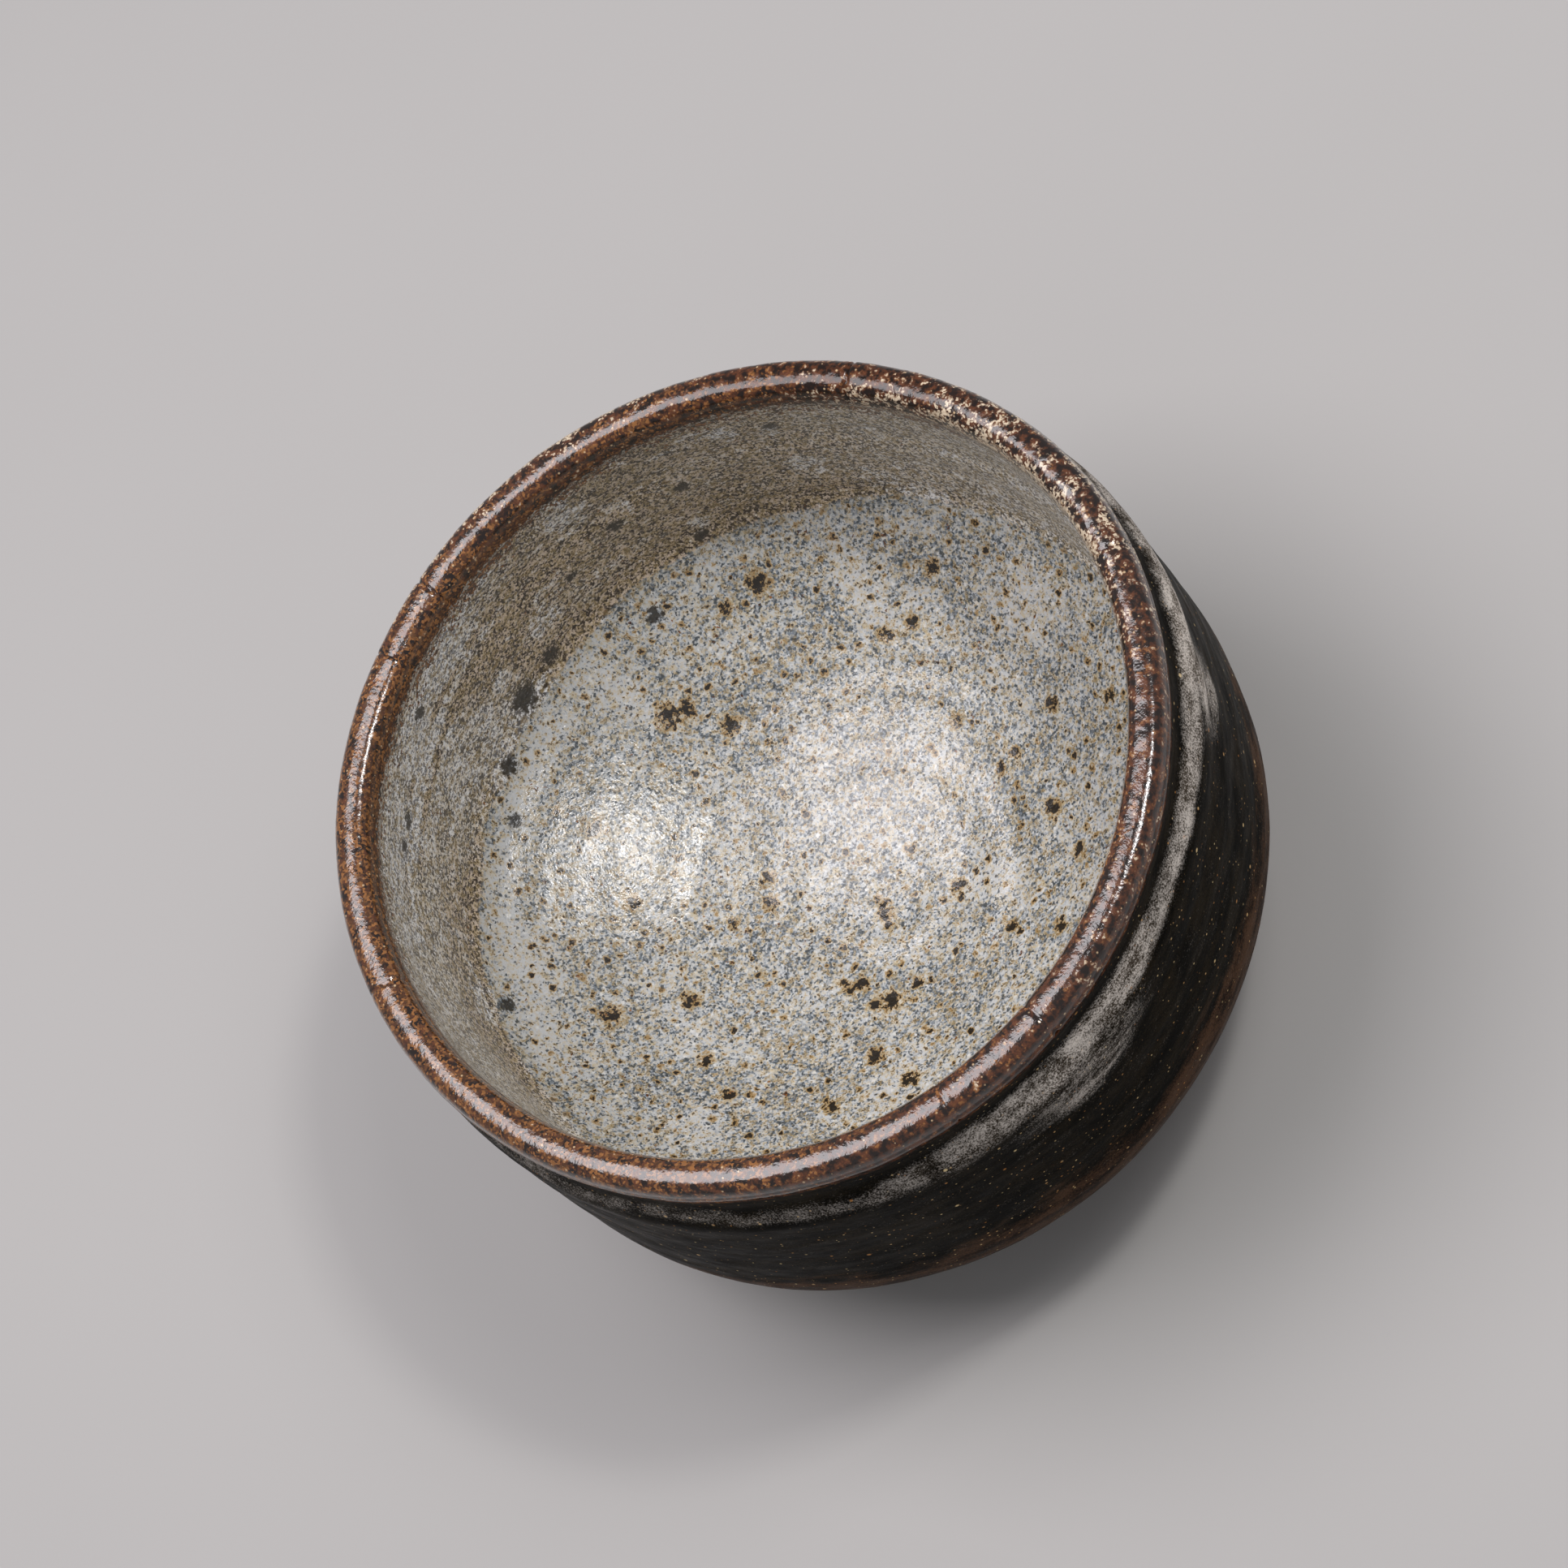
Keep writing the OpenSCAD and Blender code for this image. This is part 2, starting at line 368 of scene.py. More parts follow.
def strip(a, na, b, nb):
    """Faces between two rings of vertices, the second with as many, half, twice as many or one."""
    if na == 1:
        return [(a, b + (j + 1) % nb, b + j) for j in range(nb)]
    if nb == 1:
        return [(a + j, a + (j + 1) % na, b) for j in range(na)]
    if na == nb:
        return [(a + j, a + (j + 1) % na, b + (j + 1) % nb, b + j) for j in range(na)]
    faces = []
    if na == 2 * nb:
        for j in range(nb):
            faces.append((a + 2 * j, a + 2 * j + 1, b + j))
            faces.append((a + 2 * j + 1, a + (2 * j + 2) % na, b + (j + 1) % nb, b + j))
    else:
        for j in range(na):
            faces.append((a + j, b + 2 * j + 1, b + 2 * j))
            faces.append((a + j, a + (j + 1) % na, b + (2 * j + 2) % nb, b + 2 * j + 1))
    return faces


def loft(name, rows, around, step, coarse, relief, fields=None):
    """Turns a half section into a closed shell, raised by relief where it shows, then thrown."""
    counts = columns(rows, around, step, coarse)
    place = []
    normal = []
    seen = []
    starts = []
    total = 0
    for ((r, z), (nr, nz), shows), n in zip(rows, counts):
        a = 2 * np.pi * np.arange(n) / n
        place.append(np.column_stack([r * np.cos(a), r * np.sin(a), np.full(n, z)]))
        normal.append(np.column_stack([nr * np.cos(a), nr * np.sin(a), np.full(n, nz)]))
        seen.append(np.full(n, float(shows)))
        starts.append(total)
        total += n
    faces = []
    for i in range(len(counts) - 1):
        faces += strip(starts[i], counts[i], starts[i + 1], counts[i + 1])
    if counts[0] > 1:
        faces += strip(starts[-1], counts[-1], starts[0], counts[0])
    true = np.vstack(place)
    raised = true + np.vstack(normal) * (relief(true) * np.concatenate(seen))[:, None]
    mesh = bpy.data.meshes.new(name)
    mesh.from_pydata(thrown(raised).tolist(), [], faces)
    mesh.polygons.foreach_set("use_smooth", np.ones(len(mesh.polygons), bool))
    mesh.set_sharp_from_angle(angle=SHARP)
    for field, values in (fields(true) if fields else {}).items():
        layer = mesh.attributes.new(field, "FLOAT", "POINT")
        layer.data.foreach_set("value", np.clip(values, 0, 2).astype(np.float32))
    made = bpy.data.objects.new(name, mesh)
    bpy.context.scene.collection.objects.link(made)
    return made


# ------------------------------------------------------------------ relief of each skin, along its normal


def spot_field(p, table):
    """1 at each spot's middle, 0 at its radius and beyond it."""
    near = np.zeros(len(p))
    for x, y, z, radius in table:
        d = np.sqrt((p[:, 0] - x)**2 + (p[:, 1] - y)**2 + (p[:, 2] - z)**2)
        near = np.maximum(near, 1 - d / radius)
    return near


# The inner glaze's face, and the part of it on the wall, as points (r, z).
LINER_FACE = np.array([q for q, _, seen in section("liner_glaze", 1 * MM, 1 * MM) if seen])
WALL_FACE = LINER_FACE[LINER_FACE[:, 1] > FLOOR_Z + 12 * MM]


def floor_height(x, y):
    """Height of the glazed floor under a point, read from the liner's half section."""
    skin = LINER_FACE[np.argsort(LINER_FACE[:, 0])]
    return float(np.interp(math.hypot(x, y), skin[:, 0], skin[:, 1]))


def inner_radius(z):
    """Radius of the glazed inner wall at a height."""
    skin = WALL_FACE[np.argsort(WALL_FACE[:, 1])]
    return float(np.interp(z, skin[:, 1], skin[:, 0]))


def floor_spot(x, y, radius):
    """A spot on the floor as x, y, z and reach in metres, twice its radius."""
    return x * MM, y * MM, floor_height(x * MM, y * MM), 2 * radius * MM


def wall_spot(angle, z, radius):
    """A spot on the inner wall as x, y, z and reach in metres, twice its radius."""
    r = inner_radius(z * MM)
    a = math.radians(angle)
    return r * math.cos(a), r * math.sin(a), z * MM, 2 * radius * MM


IRON_PLACES = [floor_spot(*spot) for spot in IRON_SPOTS]
SOFT_PLACES = [wall_spot(*spot) for spot in WALL_SPOTS]


def nicks(p):
    """Depth of the hairline nicks across the lip."""
    r, angle = polar(p)
    depth = np.zeros(len(p))
    for centre, half, deep in LIP_NICKS:
        wander = 0.25 * MM * fuzz(p, 1.2 * MM, 5)
        off = np.abs(np.radians(apart(angle, centre)) * r + wander)
        depth += deep * MM * (1 - smooth(off, 0, half * MM))
    return depth * smooth(p[:, 2], RIM_EDGE_IN - 1 * MM, RIM_EDGE_IN + 2 * MM)


def softened(z, low, high, times):
    """Fills the true form's even throwing rings between two heights, which the glaze softens."""
    along = np.clip((z - low) / (high - low), 0, 1)
    return RING_FILL * (1 - np.cos(2 * np.pi * times * along)) / 2


def liner_relief(p):
    """Glaze inside: orange peel, soft dimples, the throwing spiral on the floor, and raised spots."""
    r, angle = polar(p)
    on_floor = 1 - smooth(p[:, 2], FLOOR_Z + 14 * MM, FLOOR_Z + 22 * MM)
    spiral = np.sin(2 * np.pi * (r / FLOOR_SPIRAL_PITCH - angle / 360)) * smooth(r, 3 * MM, 9 * MM)
    broken = (0.5 + 0.5 * fuzz(p, 9 * MM, 21)) * (1 - 0.75 * smooth(r, 24 * MM, 32 * MM))
    peel = 0.032 * rough_fuzz(p, 1.25 * MM, 22) + 0.020 * rough_fuzz(p, 3.2 * MM, 23)
    pool = 0.09 * fuzz(p, 7.5 * MM, 24)
    iron = spot_field(p, IRON_PLACES) - 0.5 * spot_field(p, SOFT_PLACES)
    streak = 0.05 * fuzz(rolled_out(p, 3), 7 * MM, 25) * (1 - on_floor)
    thrown_floor = FLOOR_SPIRAL_DEPTH * spiral * broken * on_floor
    top = 1 - smooth(p[:, 2], RIM_EDGE_IN - 2 * MM, RIM_EDGE_IN)
    return top * (thrown_floor + MM * (peel + pool + streak - 0.10 * iron) + softened(p[:, 2], *RINGS_IN))


def rim_relief(p):
    """Glaze on the lip: a crown a little flatter than round, thick rolls, pits and hairline nicks."""
    r, angle = polar(p)
    lean = np.arctan2(r - LIP_MID_R, p[:, 2] - LIP_MID_Z)
    crown = -0.12 * np.cos(4 * lean) * (p[:, 2] > LIP_MID_Z) * (0.8 + 0.5 * fuzz(p, 14 * MM, 30))
    knobbly = 1 + 1.2 * lobe(angle, 10, 75)
    lumps = 0.026 * knobbly * rough_fuzz(p, 1.1 * MM, 31) + 0.05 * fuzz(p, 4.0 * MM, 32)
    edge = smooth(p[:, 2], RIM_EDGE_IN, RIM_EDGE_IN + 1.6 * MM)
    return edge * MM * (lumps + crown) - nicks(p)


def outer_relief(p):
    """Glaze outside: orange peel along the throwing lines, and a thick rolled lower edge."""
    lines = 0.05 * fuzz(rolled_out(p, 3), 9 * MM, 41) + 0.02 * fuzz(rolled_out(p, 2), 3 * MM, 42)
    peel = 0.022 * rough_fuzz(p, 1.5 * MM, 43) + 0.07 * fuzz(p, 9 * MM, 44)
    top = 1 - smooth(p[:, 2], RIM_EDGE_OUT - 1.5 * MM, RIM_EDGE_OUT)
    roll = 0.22 * (1 - smooth(np.abs(p[:, 2] - GLAZE_STOP - 1.2 * MM), 0, 1.3 * MM))
    ends = smooth(p[:, 2], GLAZE_STOP - 0.2 * MM, GLAZE_STOP + 0.4 * MM)
    glaze = MM * (lines + peel + roll * (0.7 + 0.3 * fuzz(p, 11 * MM, 45)))
    return top * ends * (glaze + softened(p[:, 2], *RINGS_OUT))


def body_relief(p):
    """Bare clay: trimming lines round the underside, and grog."""
    r, _ = polar(p)
    cuts = 0.07 * fuzz(rolled_out(p, 11), 7 * MM, 51) + 0.05 * np.sin(2 * np.pi * r / (2.3 * MM))
    grog = 0.06 * np.maximum(rough_fuzz(p, 0.9 * MM, 52) - 0.35, 0) + 0.02 * rough_fuzz(p, 0.6 * MM, 53)
    return MM * (cuts + grog)


def foot_relief(p):
    """Foot ring: tool lines on its sides, worn smooth where it rests."""
    lines = 0.06 * fuzz(rolled_out(p, 9), 5 * MM, 61)
    chips = -0.25 * np.maximum(rough_fuzz(p, 2.1 * MM, 62) - 0.55, 0)
    grog = 0.03 * rough_fuzz(p, 0.6 * MM, 63)
    free = smooth(p[:, 2], 0.4 * MM, 1.2 * MM) * (1 - smooth(p[:, 2], FOOT_TOP - 0.4 * MM, FOOT_TOP))
    return MM * free * (lines + chips + grog)


def band_cover(p):
    """How thickly the brushed band covers the outer glaze, from 0 to 1."""
    _, angle = polar(p)
    at, mid, half, strength = np.array(BAND_LINE).T
    z = p[:, 2] / MM + 0.7 * fuzz(rolled_out(p, 1), 12 * MM, 71) + 0.35 * fuzz(p, 3 * MM, 72)
    off = np.abs(z - np.interp(angle, at, mid)) / np.interp(angle, at, half)
    cover = (1 - smooth(off, 0.35, 1.7)) * np.interp(angle, at, strength)
    for centre, width, tip, strong in BAND_RUNS:
        side = lobe(angle, centre, width * 1.25)
        bottom = tip + 3.2 * (1 - side)
        run = side * smooth(z, bottom - 1.5, bottom + 2.5) * (1 - smooth(z, 60.5, 63.0))
        cover = np.maximum(cover, strong * run)
    streaks = 0.80 + 0.30 * fuzz(rolled_out(p, 4), 9 * MM, 73) + 0.12 * fuzz(rolled_out(p, 3), 3 * MM, 74)
    return np.clip(cover * streaks, 0, 1)


# ------------------------------------------------------------------ zones that the materials read


# Height in mm at which the pale glaze that pools on the floor gives way to the wall's.
POOL_EDGE = 38.2


def liner_zones(p):
    """Where the inner glaze is thin and brown, with painted shade on the far wall, thick and blue, spotted,
    or fades into the rim.
    """
    _, angle = polar(p)
    z = p[:, 2] / MM
    edge = POOL_EDGE - 0.5 * lobe(angle, 80, 70) + 0.7 * fuzz(p, 6 * MM, 80)
    wall = smooth(z, edge - 1.2, edge + 1.2)
    drift = fuzz(rolled_out(p, 1.4), 17 * MM, 81)
    blot = rough_fuzz(rolled_out(p, 1.2), 7 * MM, 82)
    # The far wall is browner, partly from thin glaze and partly as painted shade, since that wall gets less
    # light.
    far = lobe(angle, 78, 96)
    low_left = lobe(angle, 152, 40) * (1 - smooth(z, 44, 53))
    lines = 0.9 * lobe(z, 58.4, 1.5) * lobe(angle, 118, 50)
    lines += 0.8 * lobe(z, 54.2, 1.7) * lobe(angle, 112, 55)
    brown = np.maximum(far * (0.80 + 0.35 * drift), 0.95 * low_left) + 0.25 * blot + lines
    # Browner still towards the foot of the wall.
    brown += 0.45 * lobe(z, 39.5, 4) * np.maximum(far, low_left)
    high = lobe(angle, 122, 55) * (1 - smooth(np.abs(z - 61), 3.0, 7))
    slant = lobe(angle - 0.9 * (z - 45), 116, 17) * (1 - smooth(z, 54, 60))
    blue = (high + 0.9 * slant) * (0.8 + 0.5 * blot) + 0.85 * np.maximum(blot, 0) - 0.7 * lines
    milky = np.zeros(len(p))
    for x, y, size in MILKY_PATCHES:
        milky = np.maximum(milky, 1 - np.hypot(p[:, 0] / MM - x, p[:, 1] / MM - y) / size)
    milky = np.maximum(milky, 0.9 * lobe(z, 35.5, 3.5) * lobe(angle, 125, 85))
    return {
        "wall": wall,
        "brown": np.clip(brown, 0, 1.2),
        "blue": np.clip(blue, 0, 1),
        "milky": milky,
        "iron": spot_field(p, IRON_PLACES),
        "soot": spot_field(p, SOFT_PLACES),
        "amber": amber_share(p) + 0.6,
        "cream": 0.6 * cream_share(p),
    }


def amber_share(p):
    """How golden the iron glaze of the rim is."""
    _, angle = polar(p)
    gold = lobe(angle, 160, 120) * 1.3 + 0.25 * lobe(angle, 60, 50)
    return np.clip(gold + 0.25 * fuzz(p, 7 * MM, 91), 0, 1)


def cream_share(p):
    """How much cream glaze lies over the rim's iron glaze, in mottled zones."""
    _, angle = polar(p)
    zone = np.maximum(0.62 * lobe(angle, 0, 75), 0.5 * lobe(angle, 75, 55))
    zone = np.maximum(zone, 0.35 * lobe(angle, -75, 40))
    return np.clip(zone * (0.8 + 0.7 * rough_fuzz(p, 3.2 * MM, 92)), 0, 1)


def rim_zones(p):
    """Where the lip is golden and glossy, and where cream lies: outside far off, inside on the right."""
    r, angle = polar(p)
    side = (r - LIP_MID_R) / LIP_R
    inside = np.clip(0.5 - 0.5 * side, 0, 1)
    far = lobe(angle, 85, 60)
    right = lobe(angle, 0, 70)
    cream = cream_share(p) + far * (0.8 * smooth(side, 0.3, 0.9) - 0.3 * smooth(-side, 0, 0.6))
    cream += right * (0.4 * smooth(-side, 0.3, 0.9) + 0.3 * smooth(side, 0.6, 1))
    return {
        "amber": amber_share(p) + 0.3 * inside,
        "cream": np.clip(cream, 0, 1),
        "inside": inside,
        "gloss": 1 - 0.65 * lobe(angle, 32, 50),
    }


def outer_zones(p):
    """Where the outer glaze breaks to brown low on the belly, and where the band covers it."""
    z = p[:, 2] / MM
    low = 1 - smooth(z + 2.2 * fuzz(rolled_out(p, 2), 14 * MM, 95), 28, 40)
    return {"low": low, "cover": band_cover(p), "amber": amber_share(p)}


# ------------------------------------------------------------------ pieces


def bare(points):
    """Which points of the clay's half section no glaze covers, apart from a little under its edge."""
    return points[:, 1] < GLAZE_STOP + 1.2 * MM


def below_joint(points):
    """Which points of the foot ring's half section aren't in its joint with the body."""
    return points[:, 1] < FOOT_TOP - 0.1 * MM


def make_body():
    """The clay, fine where it is bare."""
    rows = section("stoneware_body", step=0.5 * MM, coarse=2.4 * MM, shown=bare)
    return loft("Stoneware_Body", rows, around=640, step=0.55 * MM, coarse=3 * MM, relief=body_relief)


def make_foot():
    """The foot ring."""
    rows = section("foot_ring", step=0.3 * MM, coarse=1.5 * MM, shown=below_joint)
    return loft("Foot_Ring", rows, around=640, step=0.32 * MM, coarse=1.5 * MM, relief=foot_relief)


def make_liner():
    """The inner glaze, from the rim glaze to the middle of the floor."""
    rows = section("liner_glaze", step=0.5 * MM, coarse=3 * MM)
    return loft("Liner_Glaze", rows, around=640, step=0.5 * MM, coarse=4 * MM,
                relief=liner_relief, fields=liner_zones)


def make_rim():
    """The iron glaze over the lip."""
    rows = section("rim_glaze", step=0.28 * MM, coarse=1.5 * MM)
    return loft("Rim_Glaze", rows, around=1280, step=0.3 * MM, coarse=1.5 * MM,
                relief=rim_relief, fields=rim_zones)


def make_outer():
    """The outer glaze, down to where it stops on the turn."""
    rows = section("outer_glaze", step=0.5 * MM, coarse=2.5 * MM)
    return loft("Outer_Glaze", rows, around=768, step=0.5 * MM, coarse=3 * MM,
                relief=outer_relief, fields=outer_zones)


def band_rise(p):
    """The band stands proud of the outer glaze where it covers, and sinks into it where it doesn't."""
    return outer_relief(p) + MM * (0.34 * band_cover(p) - 0.05)


def make_band():
    """A thin shell that follows the outer glaze's face, and comes through it only where it was brushed."""
    skin = section("outer_glaze", step=0.4 * MM, coarse=2.5 * MM)
    face = [(q, n) for q, n, seen in skin if seen and BAND_FOOT < q[1] < BAND_TOP]
    rows = [(q, n, True) for q, n in face]
    rows += [(q - BAND_BACK * n, -n, False) for q, n in face[::-6]]
    return loft("Brushed_Glaze_Band", rows, around=768, step=0.5 * MM, coarse=3 * MM,
                relief=band_rise, fields=outer_zones)


# ------------------------------------------------------------------ material nodes


class Graph:
    """Makes a material's nodes. An input is a number, a colour or another node's output."""

    def __init__(self, name):
        self.material = bpy.data.materials.new(name)
        self.material.use_nodes = True
        self.tree = self.material.node_tree
        self.shader = self.tree.nodes["Principled BSDF"]
        self.place = self.node("ShaderNodeTexCoord").outputs["Object"]
        x, y, z = self.node("ShaderNodeSeparateXYZ", {0: self.place}).outputs
        self.height = z
        self.radius = self.math("SQRT", self.add(self.times(x, x), self.times(y, y)))
        self.ring = [self.math("DIVIDE", self.times(v, float(BELLY_R)), self.radius) for v in (x, y)]

    def node(self, kind, inputs=None, **settings):
        made = self.tree.nodes.new(kind)
        for key, value in settings.items():
            setattr(made, key, value)
        for key, value in (inputs or {}).items():
            self.feed(made.inputs[key], value)
        return made

    def feed(self, socket, value):
        if isinstance(value, bpy.types.NodeSocket):
            self.tree.links.new(value, socket)
        elif isinstance(value, tuple) and len(value) == 3 and socket.type == "RGBA":
            socket.default_value = (*value, 1)
        else:
            socket.default_value = value

    def math(self, operation, a, b=0.0, c=0.0):
        return self.node("ShaderNodeMath", {0: a, 1: b, 2: c}, operation=operation).outputs[0]

    def add(self, a, b):
        return self.math("ADD", a, b)

    def times(self, a, b):
        return self.math("MULTIPLY", a, b)

    def most(self, a, b):
        return self.math("MAXIMUM", a, b)

    def vectors(self, operation, inputs):
        return self.node("ShaderNodeVectorMath", inputs, operation=operation).outputs[0]

    def ramp(self, value, low, high, start=0.0, end=1.0):
        """Rises smoothly from start at low to end at high."""
        inputs = {"Value": value, "From Min": low, "From Max": high, "To Min": start, "To Max": end}
        return self.node("ShaderNodeMapRange", inputs, interpolation_type="SMOOTHSTEP").outputs[0]

    def mix(self, share, a, b):
        """A colour that is a at 0 and b at 1."""
        made = self.node("ShaderNodeMix", {0: share, 6: a, 7: b}, data_type="RGBA")
        return made.outputs[2]

    def field(self, name):
        """A zone that the mesh carries."""
        return self.node("ShaderNodeAttribute", attribute_name=name).outputs["Fac"]

    def streaked(self, stretch):
        """Coordinates in which noise runs round the bowl, stretch times as long as it is high."""
        high = self.times(self.add(self.height, self.radius), float(stretch))
        return self.node("ShaderNodeCombineXYZ", {0: self.ring[0], 1: self.ring[1], 2: high}).outputs[0]

    def noise(self, size, detail, rough, place=None):
        """Noise about 0.5, with lumps about as wide as size."""
        inputs = {"Vector": place or self.place, "Scale": 1 / size, "Detail": detail, "Roughness": rough}
        return self.node("ShaderNodeTexNoise", inputs).outputs["Fac"]

    def ragged(self, size, reach):
        """Coordinates pushed about by up to reach, so that specks in them aren't round."""
        push = self.node("ShaderNodeTexNoise", {"Vector": self.place, "Scale": 1 / size, "Detail": 2.0})
        centred = self.vectors("SUBTRACT", {0: push.outputs["Color"], 1: (0.5, 0.5, 0.5)})
        sized = self.vectors("SCALE", {0: centred, "Scale": 2 * reach})
        return self.vectors("ADD", {0: self.place, 1: sized})

    def granules(self, size, place=None):
        """A different number, from 0.3 to 0.7, for each small grain about as wide as size."""
        cells = self.node("ShaderNodeTexVoronoi", {"Vector": place or self.place, "Scale": 1 / size})
        any_number = self.node("ShaderNodeSeparateColor", {0: cells.outputs["Color"]}).outputs[0]
        return self.math("MULTIPLY_ADD", any_number, 0.4, 0.3)

    def specks(self, spacing, radius, soft, seed, share, place=None):
        """Round specks, some larger than others: 1 inside, 0 outside. Share is how many cells have one."""
        shifted = self.vectors("ADD", {0: place or self.place, 1: (seed, seed, seed)})
        cells = self.node("ShaderNodeTexVoronoi", {"Vector": shifted, "Scale": 1 / spacing})
        red, green, _ = self.node("ShaderNodeSeparateColor", {0: cells.outputs["Color"]}).outputs
        reach = self.times(self.ramp(red, 0.0, 1.0, 0.45, 1.0), radius / spacing)
        inside = self.math("DIVIDE", cells.outputs["Distance"], reach)
        spot = self.ramp(inside, 1 - soft, 1 + soft, 1.0, 0.0)
        return self.times(spot, self.math("LESS_THAN", green, share))

    def bump(self, height, distance, under=None):
        """A normal from a height from 0 to 1, distance metres at 1."""
        inputs = {"Height": height, "Distance": distance, "Strength": 1.0}
        if under:
            inputs["Normal"] = under
        return self.node("ShaderNodeBump", inputs).outputs[0]

    def finish(self, colour, roughness, normal, **constants):
        """Feeds the shader, with constants on its own sockets."""
        self.feed(self.shader.inputs["Base Color"], colour)
        self.feed(self.shader.inputs["Roughness"], roughness)
        self.feed(self.shader.inputs["Normal"], normal)
        for key, value in constants.items():
            self.shader.inputs[key.replace("_", " ")].default_value = value
        return self.material


# ------------------------------------------------------------------ colours

# Linear red, green and blue. A pair runs from a glaze's darkest grains to its lightest.
IRON = (0.012, 0.0055, 0.0035), (0.112, 0.035, 0.012)
GOLD = (0.055, 0.021, 0.006), (0.27, 0.112, 0.032)
CREAM = (0.24, 0.15, 0.085), (0.62, 0.51, 0.37)
LIP_FOOT = (0.12, 0.10, 0.075), (0.56, 0.52, 0.46)
POOL = (0.155, 0.185, 0.215), (0.500, 0.515, 0.515)
WALL_GREY = (0.105, 0.092, 0.078), (0.80, 0.775, 0.735)
WALL_BROWN = (0.026, 0.017, 0.011), (0.62, 0.510, 0.405)
WALL_BLUE = (0.165, 0.165, 0.175), (0.86, 0.865, 0.875)
OUTER = (0.0025, 0.0022, 0.0014), (0.016, 0.0115, 0.006)
OUTER_TAN = (0.016, 0.008, 0.0045), (0.095, 0.049, 0.027)
OUTER_FLECKS = (0.42, 0.18, 0.05), (0.75, 0.58, 0.30)
SILK = (0.115, 0.090, 0.066), (0.72, 0.655, 0.59)
BODY_CLAY = (0.10, 0.065, 0.04), (0.27, 0.19, 0.13)
FOOT_CLAY = (0.13, 0.085, 0.055), (0.32, 0.235, 0.165)
BOARD = (0.40, 0.392, 0.382), (0.43, 0.42, 0.41)

MILK = (0.53, 0.54, 0.545)
GRANULE = (0.66, 0.66, 0.635)
OCHRE = (0.47, 0.38, 0.20)
GRIT = (0.040, 0.042, 0.044)
POOL_DARK = (0.050, 0.058, 0.062)
# The colour that the brown wall darkens to towards its foot.
WALL_FOOT_DARK = (0.050, 0.034, 0.020)
WALL_FLECK = (0.86, 0.79, 0.68)
SPOT_STAIN = (0.52, 0.40, 0.19)
SPOT_HALO = (0.30, 0.175, 0.055)
SPOT_HEART = (0.016, 0.011, 0.006)
SOOT = (0.022, 0.020, 0.016)
LIP_FLECK = (0.60, 0.43, 0.25)
LIP_PIT = (0.010, 0.006, 0.004)
CLAY_RUST = (0.15, 0.075, 0.04)
CLAY_IRON = (0.035, 0.022, 0.014)
CLAY_GROG = (0.44, 0.36, 0.28)
BODY_WORN = (0.24, 0.17, 0.12)
FOOT_WORN = (0.36, 0.28, 0.21)

# ------------------------------------------------------------------ materials


def shake(g, *parts):
    """Adds noises that are centred on nothing, each times its share."""
    total = 0.0
    for noise, share in parts:
        total = g.add(total, g.times(g.math("SUBTRACT", noise, 0.5), share))
    return total


def iron_colour(g):
    """The rim's iron glaze: gold and amber grains in red-brown, and cream where the liner lies over it."""
    grain = g.granules(0.34 * MM, g.ragged(0.4 * MM, 0.12 * MM))
    lump = g.noise(1.2 * MM, 3, 0.6)
    patch = g.noise(4.0 * MM, 2, 0.6)
    dark = g.mix(g.ramp(lump, 0.38, 0.64), *IRON)
    gold = g.mix(g.ramp(grain, 0.46, 0.70), *GOLD)
    loose = g.add(g.times(g.field("amber"), 0.17), shake(g, (grain, 0.75), (lump, 0.6), (patch, 0.35)))
    base = g.mix(g.ramp(loose, 0.12, 0.24), dark, gold)
    cream = g.mix(g.ramp(grain, 0.38, 0.62), *CREAM)
    over = g.add(g.field("cream"), shake(g, (grain, 1.5), (lump, 2.2)))
    return g.mix(g.ramp(over, 0.62, 0.95), base, cream)


def floor_colour(g, fine, mid, clump):
    """The pale glaze on the floor: grey and blue-grey grain, cream granules and ochre stains."""
    cloud = g.noise(9 * MM, 3, 0.55)
    milk = g.add(g.times(g.field("milky"), 0.45), shake(g, (cloud, 1.0), (clump, 0.35)))
    grains = shake(g, (fine, 0.8), (mid, 0.9), (clump, 0.4))
    tone = g.add(0.5, g.add(g.times(milk, 0.4), grains))
    colour = g.mix(g.ramp(tone, 0.36, 0.64), *POOL)
    colour = g.mix(g.ramp(milk, 0.05, 0.30, 0.0, 0.5), colour, MILK)
    rag = g.ragged(0.55 * MM, 0.30 * MM)
    granule = g.specks(0.95 * MM, 0.33 * MM, 0.35, 0.2, 0.6, rag)
    colour = g.mix(g.times(granule, 0.85), colour, GRANULE)
    stain = g.noise(1.3 * MM, 2, 0.6)
    colour = g.mix(g.ramp(stain, 0.58, 0.70, 0.0, 0.5), colour, OCHRE)
    thick = g.ramp(g.add(shake(g, (clump, 0.8)), milk), 0.20, -0.12)
    small = g.specks(0.50 * MM, 0.16 * MM, 0.35, 0.35, 0.75, rag)
    large = g.specks(0.95 * MM, 0.23 * MM, 0.35, 0.85, 0.6, rag)
    colour = g.mix(g.times(g.times(g.most(small, large), thick), 0.9), colour, GRIT)
    dark = g.add(g.times(milk, 0.15), shake(g, (fine, 1.2), (mid, 0.8), (clump, 0.35)))
    return g.mix(g.ramp(dark, -0.08, -0.24, 0.0, 0.92), colour, POOL_DARK)


